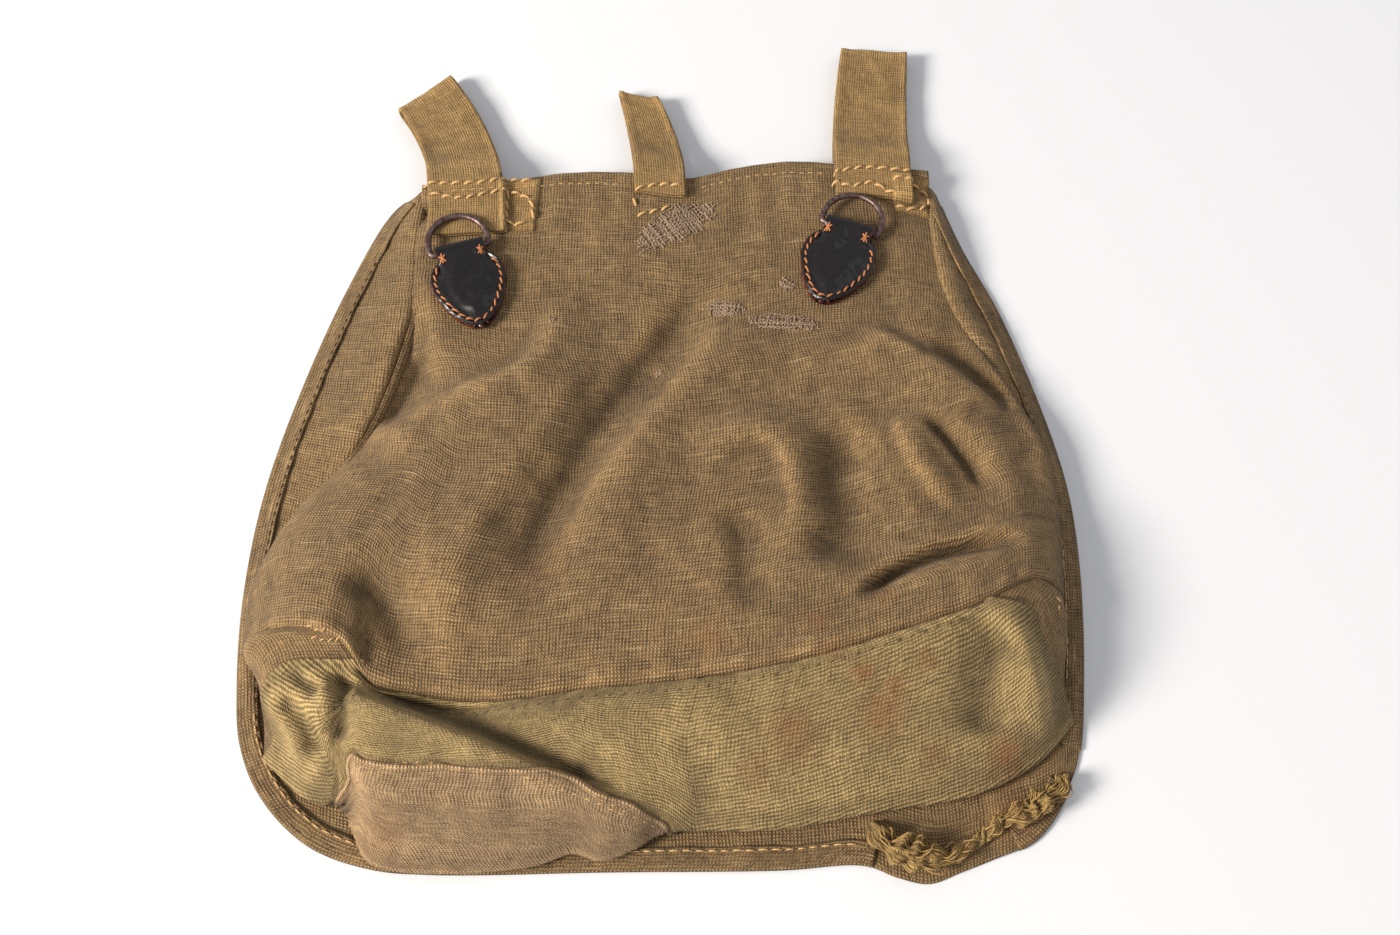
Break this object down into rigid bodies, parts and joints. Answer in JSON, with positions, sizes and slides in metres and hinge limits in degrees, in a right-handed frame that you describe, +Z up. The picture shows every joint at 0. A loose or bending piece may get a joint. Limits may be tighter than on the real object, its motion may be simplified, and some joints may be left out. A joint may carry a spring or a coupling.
{
  "type": "haversack",
  "caption": "Folk linen haversack lying face down: swelling back panel with folds, bottom gusset, wide hemmed flap, belt loops, and D-rings on leather tabs.",
  "frame": {"origin": "middle of the whole outline's box, on the surface that the bag lies on", "axes": "+X across the bag, +Y from its bottom towards the belt loops, +Z up, away from the surface"},
  "size_m": [0.3662, 0.4402, 0.0412],
  "materials": {
    "back_linen": "coarse brown linen, slubbed and worn",
    "bottom_twill": "olive khaki cotton twill with rust stains",
    "front_linen": "coarse brown linen",
    "side_linen": "coarse brown linen",
    "flap_linen": "coarse brown linen with a sewn, frayed hem",
    "loop_linen": "close brown linen, doubled",
    "tab_leather": "black polished leather, red-brown at the worn edges",
    "ring_steel": "browned steel wire, dull"
  },
  "bodies": {
    "bag": {"back_panel": "back_linen", "gusset": "bottom_twill", "front_panel": "front_linen", "side_gusset_left": "side_linen", "side_gusset_right": "side_linen", "flap": "flap_linen", "belt_loop_left": "loop_linen", "centre_strap": "loop_linen", "belt_loop_right": "loop_linen", "ring_tab_left": "tab_leather", "ring_tab_right": "tab_leather"},
    "left_ring": {"ring_left": "ring_steel"},
    "right_ring": {"ring_right": "ring_steel"}
  },
  "joints": [
    {"name": "left_ring_swing", "type": "hinge", "parent": "bag", "child": "left_ring", "pos_m": [-0.10065, 0.07741, 0.01665], "axis": [0.9563, 0.2924, 0], "range_deg": [0, 145]},
    {"name": "right_ring_swing", "type": "hinge", "parent": "bag", "child": "right_ring", "pos_m": [0.08891, 0.09041, 0.01665], "axis": [0.9397, -0.342, 0], "range_deg": [0, 145]}
  ]
}
